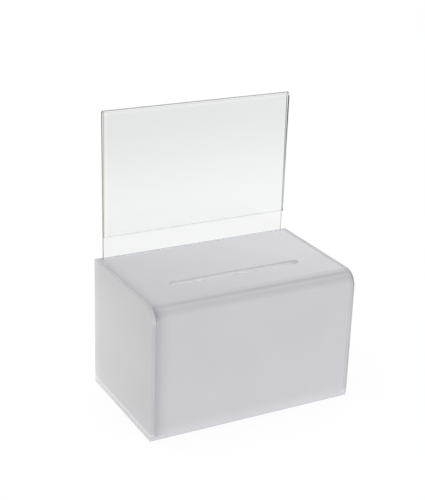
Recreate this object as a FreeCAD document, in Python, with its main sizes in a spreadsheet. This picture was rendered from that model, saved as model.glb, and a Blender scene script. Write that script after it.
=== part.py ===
import FreeCAD, Part
import Sketcher
import math
import os
import re

# A counter-top donation box in white acrylic with a clear sign holder.
# The front and top are one bent sheet between two side panels, on a base panel.
# The sign holder is one clear sheet folded over at its top, and its tail drops
# through a slot at the back of the top.  A locked door at the rear empties the box.
# Row frame: origin at the middle of the underside, +X right, +Y to the rear, +Z up.

# Driving sizes in millimetres, and the lean of the sign in degrees.
DRIVING_SIZES = (
    # white box
    ("box_width", 241.3, "outside width over both side panels"),
    ("box_depth", 147.5, "outside depth, front face to rear face"),
    ("box_height", 149.0, "underside to upper face of the top"),
    ("wall", 4.8, "white sheet of base, sides, front and top"),
    ("bend_radius", 17.0, "outside radius of the bend between front and top"),
    ("panel_edge", 0.6, "rounding of the outer edges of base and sides"),
    ("base_nose", 2.2, "rounding of the lower front edge"),
    ("seam_break", 0.4, "bevel where two sheets meet"),
    ("edge_break", 0.5, "bevel of the door edges"),
    # money slot
    ("slot_length", 155.5, "money slot, end to end"),
    ("slot_width", 8.0, "money slot, front to rear"),
    ("slot_setback", 52.75, "front face to middle of the money slot"),
    ("slot_shift", 2.0, "money slot to the right of the middle"),
    ("slot_round", 1.5, "rounding of the upper rim of the money slot"),
    # rear wall
    ("rear_sheet", 3.0, "sheet of the rear strips and the door"),
    ("top_strip_height", 42.0, "rear strip under the top"),
    ("lower_strip_height", 22.0, "rear strip on the base"),
    ("door_gap", 1.0, "door to the strips above and below it"),
    ("door_side_gap", 0.8, "door to each side panel"),
    ("door_corner", 2.0, "corner radius of the door"),
    ("stop_width", 5.0, "door stop, across"),
    ("stop_depth", 6.0, "door stop, front to rear"),
    ("stop_height", 50.0, "door stop, upright"),
    ("stop_rise", 12.0, "door stop above the lower strip"),
    ("stop_gap", 0.3, "door stop to the closed door"),
    ("stop_bevel", 2.0, "bevel on the inner corner of a stop"),
    # sign holder and its seat
    ("sign_inset", 8.4, "side of the box to the side of the sign"),
    ("sign_sheet", 2.0, "clear sheet"),
    ("sign_break", 0.3, "bevel of the sides of the clear sheet"),
    ("fold_radius", 1.5, "inside radius of the fold"),
    ("sign_rise", 165.6, "top of the fold above the box"),
    ("flap_rise", 24.9, "lower edge of the front flap above the box"),
    ("flap_gap", 0.3, "opening between flap and back sheet at that edge"),
    ("tail_depth", 30.0, "tail below the upper face of the top"),
    ("sign_lean", 0.87, "backward lean of the sign in its seat, degrees"),
    ("seat_gap", 2.6, "seat for the tail, front to rear"),
    ("seat_play", 1.0, "header slot beyond each end of the tail"),
    ("guide_sheet", 3.0, "strip in front of the tail"),
    ("rest_height", 3.0, "ledge under the tail"),
    ("rest_gap", 0.2, "ledge to the tail"),
    # hinges
    ("hinge_length", 38.0, "leaf and knuckles, across"),
    ("hinge_inset", 50.6, "side of the box to the middle of a hinge"),
    ("leaf_width", 14.0, "pin axis to the edge of a leaf"),
    ("leaf_thickness", 2.5, "leaf plate"),
    ("leaf_corner", 2.5, "corner radius of a leaf"),
    ("leaf_edge", 0.5, "bevel of the outer edges of a leaf"),
    ("knuckle_diameter", 6.0, "outside of the knuckles"),
    ("middle_knuckle", 15.0, "length of the door leaf's knuckle"),
    ("knuckle_gap", 0.4, "between knuckles"),
    ("knuckle_standoff", 0.3, "knuckle to the rear face of the box"),
    ("pin_diameter", 2.5, "hinge pin"),
    ("pin_head", 0.6, "pin beyond each end of the knuckles"),
    ("pin_press", 0.01, "pin to the base leaf, radial"),
    ("pin_running", 0.06, "pin to the door leaf, radial"),
    # cam lock
    ("lock_drop", 15.5, "upper edge of the door to the lock axis"),
    ("bezel_diameter", 22.0, "head of the lock"),
    ("bezel_thickness", 2.4, "head of the lock, front to rear"),
    ("bezel_bevel", 1.0, "bevel round the head"),
    ("barrel_diameter", 16.0, "threaded barrel"),
    ("barrel_flats", 13.2, "barrel across its two flats"),
    ("barrel_length", 12.0, "barrel behind the head"),
    ("hole_play", 0.2, "door hole round the barrel, radial"),
    ("plug_diameter", 10.0, "turning plug"),
    ("plug_face_diameter", 12.4, "front flange of the plug"),
    ("plug_face", 0.9, "front flange of the plug, thickness"),
    ("plug_running", 0.05, "plug to barrel"),
    ("keyway_length", 6.6, "key slot, long way"),
    ("keyway_width", 1.3, "key slot, short way"),
    ("keyway_depth", 8.0, "key slot, inward"),
    ("washer_diameter", 20.0, "spring washer"),
    ("washer_thickness", 0.8, "spring washer"),
    ("nut_across", 20.0, "lock nut across flats"),
    ("nut_thickness", 3.5, "lock nut"),
    ("nut_bevel", 0.9, "bevel on the corners of the lock nut, along its axis"),
    ("thread_play", 0.1, "barrel to nut and washer, radial"),
    ("cam_gap", 0.3, "end of the barrel to the cam"),
    ("cam_thickness", 2.0, "cam plate"),
    ("cam_width", 13.0, "cam, across"),
    ("cam_hub", 7.0, "lock axis to the short end of the cam"),
    ("cam_reach", 27.0, "lock axis to the tip of the cam"),
    ("cam_tip_radius", 4.0, "corner radius at the tip and hub"),
    ("cam_bend_clear", 1.0, "corner of the nut to the first bend of the cam"),
    ("cam_bend_radius", 1.5, "inside radius of the two bends"),
    ("cam_catch_gap", 1.0, "tip of the cam to the rear strip"),
    ("drive_square", 6.4, "square drive on the plug"),
    ("drive_play", 0.1, "cam to the square drive"),
    ("screw_diameter", 4.0, "cam screw"),
    ("screw_length", 7.0, "cam screw below its head"),
    ("screw_head_diameter", 9.0, "head of the cam screw"),
    ("screw_head_height", 2.6, "head of the cam screw"),
    ("screw_slot_width", 1.2, "driver slot of the cam screw"),
    ("screw_slot_depth", 1.2, "driver slot of the cam screw"),
)

doc = FreeCAD.newDocument("DonationBox")
sheet = doc.addObject("Spreadsheet::Sheet", "Sizes")
for row, (alias, number, meaning) in enumerate(DRIVING_SIZES, start=1):
    sheet.set(f"A{row}", alias)
    sheet.set(f"B{row}", str(number))
    sheet.set(f"C{row}", meaning)
    sheet.setAlias(f"B{row}", alias)
doc.recompute()

SIZE_WORDS = re.compile(r"\b(" + "|".join(alias for alias, number, meaning in DRIVING_SIZES) + r")\b")
X_AXIS = FreeCAD.Vector(1, 0, 0)
Y_AXIS = FreeCAD.Vector(0, 1, 0)
Z_AXIS = FreeCAD.Vector(0, 0, 1)


def formula(text):
    """The expression for a sum of size words, as the document reads it."""
    return SIZE_WORDS.sub(r"Sizes.\1", text)


def number_of(text):
    """The present value of a sum of size words."""
    return float(sheet.evalExpression(formula(text)))


def bind(thing, path, text):
    thing.setExpression(path, formula(text))


def put(thing, x="0", y="0", z="0", axis=None, angle="0"):
    """Place a sub-part by formulas, turned by a formula in degrees about one axis."""
    if axis is not None:
        thing.Placement = FreeCAD.Placement(FreeCAD.Vector(), FreeCAD.Rotation(axis, number_of(angle)))
        bind(thing, "Placement.Rotation.Angle", angle)
    bind(thing, "Placement.Base.x", x)
    bind(thing, "Placement.Base.y", y)
    bind(thing, "Placement.Base.z", z)


def new_body(label):
    body = doc.addObject("PartDesign::Body", label)
    body.Label = label
    return body


def new_sketch(body, role, level="0", facing_back=False):
    """A sketch on one of the body's own planes, lifted by a formula along its normal."""
    sketch = body.newObject("Sketcher::SketchObject", f"{body.Name}_sketch")
    plane = next(feature for feature in body.Origin.OriginFeatures if feature.Role == role)
    sketch.AttachmentSupport = [(plane, "")]
    sketch.MapMode = "FlatFace"
    if facing_back:
        sketch.AttachmentOffset = FreeCAD.Placement(FreeCAD.Vector(), FreeCAD.Rotation(Y_AXIS, 180))
    bind(sketch, "AttachmentOffset.Base.z", level)
    return sketch


def dimension(sketch, kind, elements, text):
    """A driving constraint that follows a formula."""
    index = sketch.addConstraint(Sketcher.Constraint(kind, *elements, number_of(text)))
    bind(sketch, f"Constraints[{index}]", text)


def locate(sketch, curve, point, across, up):
    """Hold one point of a curve at formulas measured from the sketch origin."""
    for kind, text, axis in (("DistanceX", across, -2), ("DistanceY", up, -1)):
        if text == "0":
            sketch.addConstraint(Sketcher.Constraint("PointOnObject", curve, point, axis))
        else:
            dimension(sketch, kind, (-1, 1, curve, point), text)


def outline(sketch, corners):
    """A closed outline of straight edges through corners given as pairs of formulas."""
    first = sketch.GeometryCount
    points = [FreeCAD.Vector(number_of(across), number_of(up), 0) for across, up in corners]
    for start, end in zip(points, points[1:] + points[:1]):
        sketch.addGeometry(Part.LineSegment(start, end))
    for index, (across, up) in enumerate(corners):
        following = first + (index + 1) % len(corners)
        sketch.addConstraint(Sketcher.Constraint("Coincident", first + index, 2, following, 1))
        locate(sketch, first + index, 1, across, up)


def rectangle(sketch, left, right, low, high):
    outline(sketch, ((left, low), (right, low), (right, high), (left, high)))


def circle(sketch, across, up, radius):
    centre = FreeCAD.Vector(number_of(across), number_of(up), 0)
    index = sketch.addGeometry(Part.Circle(centre, Z_AXIS, number_of(radius)))
    locate(sketch, index, 3, across, up)
    dimension(sketch, "Radius", (index,), radius)


def pad(body, sketch, length, symmetric=False):
    feature = body.newObject("PartDesign::Pad", f"{body.Name}_pad")
    feature.Profile = sketch
    feature.SideType = "Symmetric" if symmetric else "One side"
    bind(feature, "Length", length)
    doc.recompute()
    return feature


def pocket(body, sketch, length, symmetric=False, forward=False):
    """Cut by a sketch, against its normal unless forward, and make sure that it did cut."""
    before = body.Shape.Volume
    feature = body.newObject("PartDesign::Pocket", f"{body.Name}_pocket")
    feature.Profile = sketch
    feature.SideType = "Symmetric" if symmetric else "One side"
    feature.Reversed = forward
    bind(feature, "Length", length)
    doc.recompute()
    if not body.Shape.Volume < before:
        raise RuntimeError(f"a pocket of {body.Label} cuts nothing")
    return feature


def revolve(body, sketch, cut=False):
    """Turn a sketch right round its upright axis, as a solid or as a cut."""
    kind = "Groove" if cut else "Revolution"
    feature = body.newObject(f"PartDesign::{kind}", f"{body.Name}_{kind.lower()}")
    feature.Profile = sketch
    feature.ReferenceAxis = (sketch, ["V_Axis"])
    feature.Angle = 360
    doc.recompute()
    return feature


def dress(body, kind, size, wanted):
    """Fillet or chamfer the edges of the body's last feature that the test picks."""
    base = body.Tip
    names = [f"Edge{index}" for index, edge in enumerate(base.Shape.Edges, start=1) if wanted(edge)]
    if not names:
        raise RuntimeError(f"no edge of {body.Label} to dress")
    feature = body.newObject(f"PartDesign::{kind}", f"{body.Name}_{kind.lower()}")
    feature.Base = (base, names)
    bind(feature, "Radius" if kind == "Fillet" else "Size", size)
    doc.recompute()
    return feature


def near(value, text):
    return abs(value - number_of(text)) < 1e-4


def flat_at(edge, direction, text):
    """True where the whole edge lies at one distance along x, y or z."""
    box = edge.BoundBox
    low, high = {"x": (box.XMin, box.XMax), "y": (box.YMin, box.YMax), "z": (box.ZMin, box.ZMax)}[direction]
    return near(low, text) and near(high, text)


def runs_along(edge, direction):
    spans = {"x": edge.BoundBox.XLength, "y": edge.BoundBox.YLength, "z": edge.BoundBox.ZLength}
    return spans[direction] > 1e-3 and all(spans[other] < 1e-3 for other in spans if other != direction)


# Base panel, a flat sheet under the walls, with its edge showing all round
# and rounded off along the lower front.
base_panel = new_body("base_panel")
plan = new_sketch(base_panel, "XY_Plane")
rectangle(plan, "-box_width / 2", "box_width / 2", "-box_depth / 2", "box_depth / 2")
pad(base_panel, plan, "wall")
dress(base_panel, "Fillet", "base_nose",
      lambda edge: flat_at(edge, "y", "-box_depth / 2") and flat_at(edge, "z", "0"))
for end in ("-box_width / 2", "box_width / 2"):
    dress(base_panel, "Fillet", "panel_edge",
          lambda edge: flat_at(edge, "x", end) and not flat_at(edge, "z", "wall"))


# Side panels, whose upper front corner follows the bend of the front sheet.
SIDE_HEIGHT = "box_height - wall"


def follows_bent_sheet(edge):
    """True along the front, the bend and the top, but not along the base or the rear."""
    return not flat_at(edge, "z", "0") and not flat_at(edge, "y", "box_depth")


for side in ("left", "right"):
    panel = new_body(f"side_panel_{side}")
    face = new_sketch(panel, "YZ_Plane")
    rectangle(face, "0", "box_depth", "0", SIDE_HEIGHT)
    pad(panel, face, "wall")
    dress(panel, "Fillet", "bend_radius",
          lambda edge: flat_at(edge, "y", "0") and flat_at(edge, "z", SIDE_HEIGHT))
    outer_face, inner_face = ("0", "wall") if side == "left" else ("wall", "0")
    dress(panel, "Fillet", "panel_edge",
          lambda edge: flat_at(edge, "x", outer_face) and follows_bent_sheet(edge))
    dress(panel, "Chamfer", "seam_break", lambda edge: flat_at(edge, "x", outer_face))
    dress(panel, "Chamfer", "seam_break",
          lambda edge: flat_at(edge, "x", inner_face) and follows_bent_sheet(edge))
    put(panel, "-box_width / 2" if side == "left" else "box_width / 2 - wall", "-box_depth / 2", "wall")


# Front and top, one sheet bent along the upper front edge, with the money slot
# and, just ahead of its rear edge, the slot for the sign's tail.
INNER_WIDTH = "(box_width - 2 * wall)"


def is_outer_bend(edge):
    return edge.Curve.TypeId == "Part::GeomCircle" and near(edge.Curve.Radius, "bend_radius")


front_top = new_body("front_top_panel")
section = new_sketch(front_top, "YZ_Plane")
outline(section, (
    ("0", "0"), ("wall", "0"),
    ("wall", "box_height - 2 * wall"), ("box_depth", "box_height - 2 * wall"),
    ("box_depth", SIDE_HEIGHT), ("0", SIDE_HEIGHT)))
pad(front_top, section, INNER_WIDTH, symmetric=True)
dress(front_top, "Fillet", "bend_radius",
      lambda edge: flat_at(edge, "y", "0") and flat_at(edge, "z", SIDE_HEIGHT))
dress(front_top, "Fillet", "bend_radius - wall",
      lambda edge: flat_at(edge, "y", "wall") and flat_at(edge, "z", "box_height - 2 * wall"))
for end in (f"-{INNER_WIDTH} / 2", f"{INNER_WIDTH} / 2"):
    dress(front_top, "Chamfer", "seam_break",
          lambda edge: flat_at(edge, "x", end) and (
              flat_at(edge, "y", "0") or flat_at(edge, "z", SIDE_HEIGHT) or is_outer_bend(edge)))

slot = new_sketch(front_top, "XY_Plane", SIDE_HEIGHT)
SLOT_RADIUS = "slot_width / 2"
SLOT_LEFT = "slot_shift - slot_length / 2 + slot_width / 2"
SLOT_RIGHT = "slot_shift + slot_length / 2 - slot_width / 2"
slot_y = number_of("slot_setback")
slot_r = number_of(SLOT_RADIUS)
left_centre = FreeCAD.Vector(number_of(SLOT_LEFT), slot_y, 0)
right_centre = FreeCAD.Vector(number_of(SLOT_RIGHT), slot_y, 0)
half_width = FreeCAD.Vector(0, slot_r, 0)
quarter = math.pi / 2
slot.addGeometry(Part.LineSegment(left_centre - half_width, right_centre - half_width))
slot.addGeometry(Part.ArcOfCircle(Part.Circle(right_centre, Z_AXIS, slot_r), -quarter, quarter))
slot.addGeometry(Part.LineSegment(right_centre + half_width, left_centre + half_width))
slot.addGeometry(Part.ArcOfCircle(Part.Circle(left_centre, Z_AXIS, slot_r), quarter, 3 * quarter))
for curve in range(4):
    slot.addConstraint(Sketcher.Constraint("Tangent", curve, 2, (curve + 1) % 4, 1))
locate(slot, 1, 3, SLOT_RIGHT, "slot_setback")
locate(slot, 3, 3, SLOT_LEFT, "slot_setback")
dimension(slot, "Radius", (1,), SLOT_RADIUS)
pocket(front_top, slot, "2 * wall")


def rims_money_slot(edge):
    """The upper rim of the money slot, which lies between the bend and the header slot."""
    return flat_at(edge, "z", SIDE_HEIGHT) and edge.BoundBox.YMin > number_of("bend_radius + wall") \
        and edge.BoundBox.YMax < number_of("box_depth - rear_sheet - seat_gap - wall") \
        and edge.BoundBox.XLength < number_of("slot_length")


dress(front_top, "Fillet", "slot_round", rims_money_slot)
SIGN_WIDTH = "(box_width - 2 * sign_inset)"
header_slot = new_sketch(front_top, "XY_Plane", SIDE_HEIGHT)
rectangle(header_slot, f"-{SIGN_WIDTH} / 2 - seat_play", f"{SIGN_WIDTH} / 2 + seat_play",
          "box_depth - rear_sheet - seat_gap", "box_depth - rear_sheet")
pocket(front_top, header_slot, "2 * wall")
put(front_top, y="-box_depth / 2", z="wall")


# Rear strips, cemented between the side panels above and below the door.
def rear_strip(label, low, height):
    strip = new_body(label)
    face = new_sketch(strip, "XZ_Plane")
    rectangle(face, f"-{INNER_WIDTH} / 2", f"{INNER_WIDTH} / 2", "0", height)
    pad(strip, face, "rear_sheet")
    dress(strip, "Chamfer", "seam_break", lambda edge: flat_at(edge, "y", "0"))
    put(strip, y="box_depth / 2", z=low)


TOP_STRIP_LOW = "(box_height - wall - top_strip_height)"
LOWER_STRIP_HIGH = "(wall + lower_strip_height)"
rear_strip("rear_top_strip", TOP_STRIP_LOW, "top_strip_height")
rear_strip("rear_lower_strip", "wall", "lower_strip_height")


# Seat of the sign's tail: a guide strip in front of it and a ledge below it.
SEAT_FLOOR = "(box_height - tail_depth - rest_gap)"
guide = new_body("header_guide")
guide_face = new_sketch(guide, "XZ_Plane")
rectangle(guide_face, f"-{INNER_WIDTH} / 2", f"{INNER_WIDTH} / 2",
          f"{SEAT_FLOOR} - rest_height", "box_height - wall")
pad(guide, guide_face, "guide_sheet")
put(guide, y="box_depth / 2 - rear_sheet - seat_gap")

rest = new_body("header_rest")
rest_face = new_sketch(rest, "XZ_Plane")
rectangle(rest_face, f"-{INNER_WIDTH} / 2", f"{INNER_WIDTH} / 2", f"{SEAT_FLOOR} - rest_height", SEAT_FLOOR)
pad(rest, rest_face, "seat_gap")
put(rest, y="box_depth / 2 - rear_sheet")


# Sign holder, one clear sheet: tail and back, a tight fold, and a front flap that
# closes on the back towards its lower edge.  Drawn from its rear face forwards.
sign_holder = new_body("sign_holder")
fold = new_sketch(sign_holder, "YZ_Plane", facing_back=True)
FOLD_OUTER = "(fold_radius + sign_sheet)"
FOLD_CENTRE = f"(tail_depth + sign_rise - {FOLD_OUTER})"
FLAP_LOW = "(tail_depth + flap_rise)"
sheet_t = number_of("sign_sheet")
outer_r = number_of(FOLD_OUTER)
centre_up = number_of(FOLD_CENTRE)
flap_low = number_of(FLAP_LOW)
flap_inner = number_of("sign_sheet + flap_gap")
fold_centre = FreeCAD.Vector(outer_r, centre_up, 0)


def point(across, up):
    return FreeCAD.Vector(across, up, 0)


TAIL, BACK_INSIDE, INNER_FOLD, FLAP_INSIDE, FLAP_EDGE, FLAP_OUTSIDE, OUTER_FOLD, BACK_OUTSIDE = range(8)
fold.addGeometry(Part.LineSegment(point(0, 0), point(sheet_t, 0)))
fold.addGeometry(Part.LineSegment(point(sheet_t, 0), point(sheet_t, centre_up)))
fold.addGeometry(Part.ArcOfCircle(Part.Circle(fold_centre, Z_AXIS, outer_r - sheet_t), 0, math.pi))
fold.addGeometry(Part.LineSegment(point(2 * outer_r - sheet_t, centre_up), point(flap_inner, flap_low)))
fold.addGeometry(Part.LineSegment(point(flap_inner, flap_low), point(flap_inner + sheet_t, flap_low)))
fold.addGeometry(Part.LineSegment(point(flap_inner + sheet_t, flap_low), point(2 * outer_r, centre_up)))
fold.addGeometry(Part.ArcOfCircle(Part.Circle(fold_centre, Z_AXIS, outer_r), 0, math.pi))
fold.addGeometry(Part.LineSegment(point(0, centre_up), point(0, 0)))
for first, first_end, second, second_end in (
        (TAIL, 2, BACK_INSIDE, 1), (FLAP_INSIDE, 2, FLAP_EDGE, 1),
        (FLAP_EDGE, 2, FLAP_OUTSIDE, 1), (BACK_OUTSIDE, 2, TAIL, 1)):
    fold.addConstraint(Sketcher.Constraint("Coincident", first, first_end, second, second_end))
for line, line_end, arc, arc_end in (
        (BACK_INSIDE, 2, INNER_FOLD, 2), (FLAP_INSIDE, 1, INNER_FOLD, 1),
        (FLAP_OUTSIDE, 2, OUTER_FOLD, 1), (BACK_OUTSIDE, 1, OUTER_FOLD, 2)):
    fold.addConstraint(Sketcher.Constraint("Tangent", line, line_end, arc, arc_end))
fold.addConstraint(Sketcher.Constraint("Coincident", INNER_FOLD, 3, OUTER_FOLD, 3))
fold.addConstraint(Sketcher.Constraint("Vertical", BACK_INSIDE))
fold.addConstraint(Sketcher.Constraint("Horizontal", TAIL))
fold.addConstraint(Sketcher.Constraint("Coincident", TAIL, 1, -1, 1))
fold.addConstraint(Sketcher.Constraint("Vertical", BACK_OUTSIDE))
fold.addConstraint(Sketcher.Constraint("Parallel", FLAP_INSIDE, FLAP_OUTSIDE))
fold.addConstraint(Sketcher.Constraint("Perpendicular", FLAP_EDGE, FLAP_OUTSIDE))
dimension(fold, "DistanceX", (TAIL, 1, TAIL, 2), "sign_sheet")
dimension(fold, "Radius", (INNER_FOLD,), "fold_radius")
dimension(fold, "DistanceY", (-1, 1, OUTER_FOLD, 3), FOLD_CENTRE)
dimension(fold, "DistanceY", (-1, 1, FLAP_EDGE, 1), FLAP_LOW)
dimension(fold, "DistanceX", (-1, 1, FLAP_EDGE, 1), "sign_sheet + flap_gap")
pad(sign_holder, fold, SIGN_WIDTH, symmetric=True)
for end in (f"-{SIGN_WIDTH} / 2", f"{SIGN_WIDTH} / 2"):
    dress(sign_holder, "Chamfer", "sign_break", lambda edge: flat_at(edge, "x", end))
# Centred in its seat: half the play left over by the sheet and by its lean.
LEAN_SHIFT = "tail_depth * tan(sign_lean * 1 deg)"
put(sign_holder,
    y=f"box_depth / 2 - rear_sheet - (seat_gap - sign_sheet + {LEAN_SHIFT}) / 2",
    z="box_height - tail_depth", axis=-X_AXIS, angle="sign_lean")


# Rear door, hung at its lower edge, with a hole for the lock that stops it turning.
DOOR_LOW = f"({LOWER_STRIP_HIGH} + door_gap)"
DOOR_HIGH = f"({TOP_STRIP_LOW} - door_gap)"
DOOR_HEIGHT = f"({DOOR_HIGH} - {DOOR_LOW})"
DOOR_HALF = f"({INNER_WIDTH} / 2 - door_side_gap)"
door = new_body("rear_door")
door_face = new_sketch(door, "XZ_Plane")
rectangle(door_face, f"-{DOOR_HALF}", DOOR_HALF, "0", DOOR_HEIGHT)
pad(door, door_face, "rear_sheet")
dress(door, "Fillet", "door_corner", lambda edge: runs_along(edge, "y"))
for face_at in ("0", "-rear_sheet"):
    dress(door, "Chamfer", "edge_break", lambda edge: flat_at(edge, "y", face_at))
lock_hole = new_sketch(door, "XZ_Plane")
HOLE_RADIUS = "(barrel_diameter / 2 + hole_play)"
HOLE_FLAT = "(barrel_flats / 2 + hole_play)"
LOCK_UP = f"({DOOR_HEIGHT} - lock_drop)"
hole_r = number_of(HOLE_RADIUS)
hole_centre = point(0, number_of(LOCK_UP))
flat_rise = (hole_r ** 2 - number_of(HOLE_FLAT) ** 2) ** 0.5
corner = point(number_of(HOLE_FLAT), flat_rise)
lower_corner = point(number_of(HOLE_FLAT), -flat_rise)
UPPER_ARC, LEFT_FLAT, LOWER_ARC, RIGHT_FLAT = range(4)
corner_angle = corner.getAngle(X_AXIS)
round_hole = Part.Circle(hole_centre, Z_AXIS, hole_r)
lock_hole.addGeometry(Part.ArcOfCircle(round_hole, corner_angle, math.pi - corner_angle))
lock_hole.addGeometry(Part.LineSegment(hole_centre - lower_corner, hole_centre - corner))
lock_hole.addGeometry(Part.ArcOfCircle(round_hole, math.pi + corner_angle, 2 * math.pi - corner_angle))
lock_hole.addGeometry(Part.LineSegment(hole_centre + lower_corner, hole_centre + corner))
for curve in range(4):
    lock_hole.addConstraint(Sketcher.Constraint("Coincident", curve, 2, (curve + 1) % 4, 1))
lock_hole.addConstraint(Sketcher.Constraint("Coincident", UPPER_ARC, 3, LOWER_ARC, 3))
lock_hole.addConstraint(Sketcher.Constraint("Equal", UPPER_ARC, LOWER_ARC))
lock_hole.addConstraint(Sketcher.Constraint("Vertical", LEFT_FLAT))
lock_hole.addConstraint(Sketcher.Constraint("Vertical", RIGHT_FLAT))
locate(lock_hole, UPPER_ARC, 3, "0", LOCK_UP)
dimension(lock_hole, "Radius", (UPPER_ARC,), HOLE_RADIUS)
dimension(lock_hole, "DistanceX", (-1, 1, RIGHT_FLAT, 1), HOLE_FLAT)
dimension(lock_hole, "DistanceX", (-1, 1, LEFT_FLAT, 1), f"-{HOLE_FLAT}")
pocket(door, lock_hole, "4 * rear_sheet", symmetric=True)
put(door, y="box_depth / 2", z=DOOR_LOW)


# Door stops, two strips on the side panels that the closed door comes up to.
for side in ("left", "right"):
    stop = new_body(f"door_stop_{side}")
    stop_plan = new_sketch(stop, "XY_Plane")
    rectangle(stop_plan, "0", "stop_width", "0", "stop_depth")
    pad(stop, stop_plan, "stop_height")
    inner_side = "stop_width" if side == "left" else "0"
    dress(stop, "Chamfer", "stop_bevel",
          lambda edge: runs_along(edge, "z") and flat_at(edge, "x", inner_side) and flat_at(edge, "y", "0"))
    put(stop, f"-{INNER_WIDTH} / 2" if side == "left" else f"{INNER_WIDTH} / 2 - stop_width",
        "box_depth / 2 - rear_sheet - stop_gap - stop_depth", f"{LOWER_STRIP_HIGH} + stop_rise")


# Hinges: clear leaves cemented to the lower strip and to the door, on steel pins.
# A leaf is drawn upright from its outer edge, with its knuckle at the top.
KNUCKLE_RADIUS = "(knuckle_diameter / 2)"
PIN_OUT = f"({KNUCKLE_RADIUS} + knuckle_standoff)"
PIN_UP = f"({LOWER_STRIP_HIGH} + door_gap / 2)"
CUT_FROM = f"(leaf_width - {KNUCKLE_RADIUS} - knuckle_gap)"
CUT_TO = "(leaf_width + knuckle_diameter)"


def hinge_leaf(label, pin_play, cuts):
    """A leaf whose knuckle is cut away over the given stretches, bored for the pin."""
    leaf = new_body(label)
    section = new_sketch(leaf, "YZ_Plane")
    thick = number_of("leaf_thickness")
    wide = number_of("leaf_width")
    axis_out = number_of(PIN_OUT)
    knuckle_r = number_of(KNUCKLE_RADIUS)
    pin_axis = point(axis_out, wide)
    drop = (knuckle_r ** 2 - (axis_out - thick) ** 2) ** 0.5
    meet = point(thick - axis_out, -drop)
    section.addGeometry(Part.LineSegment(point(0, 0), point(thick, 0)))
    section.addGeometry(Part.LineSegment(point(thick, 0), pin_axis + meet))
    round_knuckle = Part.Circle(pin_axis, Z_AXIS, knuckle_r)
    section.addGeometry(Part.ArcOfCircle(round_knuckle, -meet.getAngle(X_AXIS), math.pi))
    section.addGeometry(Part.LineSegment(point(axis_out - knuckle_r, wide), point(0, wide)))
    section.addGeometry(Part.LineSegment(point(0, wide), point(0, 0)))
    for index in range(5):
        section.addConstraint(Sketcher.Constraint("Coincident", index, 2, (index + 1) % 5, 1))
    section.addConstraint(Sketcher.Constraint("Coincident", 0, 1, -1, 1))
    for index, kind in ((0, "Horizontal"), (1, "Vertical"), (3, "Horizontal"), (4, "Vertical")):
        section.addConstraint(Sketcher.Constraint(kind, index))
    dimension(section, "DistanceX", (-1, 1, 0, 2), "leaf_thickness")
    locate(section, 2, 3, PIN_OUT, "leaf_width")
    dimension(section, "Radius", (2,), KNUCKLE_RADIUS)
    dimension(section, "DistanceY", (-1, 1, 4, 1), "leaf_width")
    pad(leaf, section, "hinge_length", symmetric=True)
    bore = new_sketch(leaf, "YZ_Plane")
    circle(bore, PIN_OUT, "leaf_width", f"pin_diameter / 2 + {pin_play}")
    pocket(leaf, bore, "2 * hinge_length", symmetric=True)
    comb = new_sketch(leaf, "XZ_Plane")
    for left, right in cuts:
        rectangle(comb, left, right, CUT_FROM, CUT_TO)
    pocket(leaf, comb, "4 * knuckle_diameter", symmetric=True)
    dress(leaf, "Fillet", "leaf_corner",
          lambda edge: runs_along(edge, "y") and flat_at(edge, "z", "0"))
    dress(leaf, "Chamfer", "leaf_edge",
          lambda edge: flat_at(edge, "y", "leaf_thickness") and flat_at(edge, "z", "0"))
    return leaf


MIDDLE_HALF = "middle_knuckle / 2"
OUTER_END = "hinge_length"
for side, sign in (("left", "-"), ("right", "")):
    hinge_x = f"{sign}(box_width / 2 - hinge_inset)"
    base_leaf = hinge_leaf(f"hinge_base_leaf_{side}", "pin_press",
                           ((f"-{MIDDLE_HALF} - knuckle_gap", f"{MIDDLE_HALF} + knuckle_gap"),))
    put(base_leaf, hinge_x, "box_depth / 2", f"{PIN_UP} - leaf_width")
    door_leaf = hinge_leaf(f"hinge_door_leaf_{side}", "pin_running",
                           ((f"-{OUTER_END}", f"-{MIDDLE_HALF}"), (MIDDLE_HALF, OUTER_END)))
    put(door_leaf, hinge_x, "box_depth / 2", f"{PIN_UP} + leaf_width", Y_AXIS, "180")
    pin = new_body(f"hinge_pin_{side}")
    pin_end = new_sketch(pin, "YZ_Plane")
    circle(pin_end, "0", "0", "pin_diameter / 2")
    pad(pin, pin_end, "hinge_length + 2 * pin_head", symmetric=True)
    dress(pin, "Chamfer", "pin_head / 2", lambda edge: edge.Curve.TypeId == "Part::GeomCircle")
    put(pin, hinge_x, f"box_depth / 2 + {PIN_OUT}", PIN_UP)


# Cam lock.  Each piece is turned about its own z axis, which points out of the door.
LOCK_Z = f"({DOOR_LOW} + {LOCK_UP})"


def put_on_lock_axis(thing, behind_face):
    """Lay a piece on the lock axis, its own origin at a distance in from the door's outer face."""
    put(thing, y=f"box_depth / 2 - ({behind_face})", z=LOCK_Z, axis=-X_AXIS, angle="90")


# Barrel with its head, bored for the plug and flattened on two sides.
PLUG_BORE = "(plug_diameter / 2 + plug_running)"
FACE_BORE = "(plug_face_diameter / 2 + plug_running)"
FACE_FLOOR = "(barrel_length + bezel_thickness - plug_face - plug_running)"
HEAD_TOP = "(barrel_length + bezel_thickness)"
barrel = new_body("lock_barrel")
barrel_section = new_sketch(barrel, "XZ_Plane")
outline(barrel_section, (
    (PLUG_BORE, "0"), ("barrel_diameter / 2", "0"),
    ("barrel_diameter / 2", "barrel_length"), ("bezel_diameter / 2", "barrel_length"),
    ("bezel_diameter / 2", HEAD_TOP), (FACE_BORE, HEAD_TOP),
    (FACE_BORE, FACE_FLOOR), (PLUG_BORE, FACE_FLOOR)))
revolve(barrel, barrel_section)
flats = new_sketch(barrel, "XY_Plane")
for sign in ("-", ""):
    near_side = f"{sign}barrel_flats / 2"
    far_side = f"{sign}barrel_diameter"
    rectangle(flats, near_side, far_side, "-barrel_diameter", "barrel_diameter")
pocket(barrel, flats, "barrel_length", forward=True)
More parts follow.
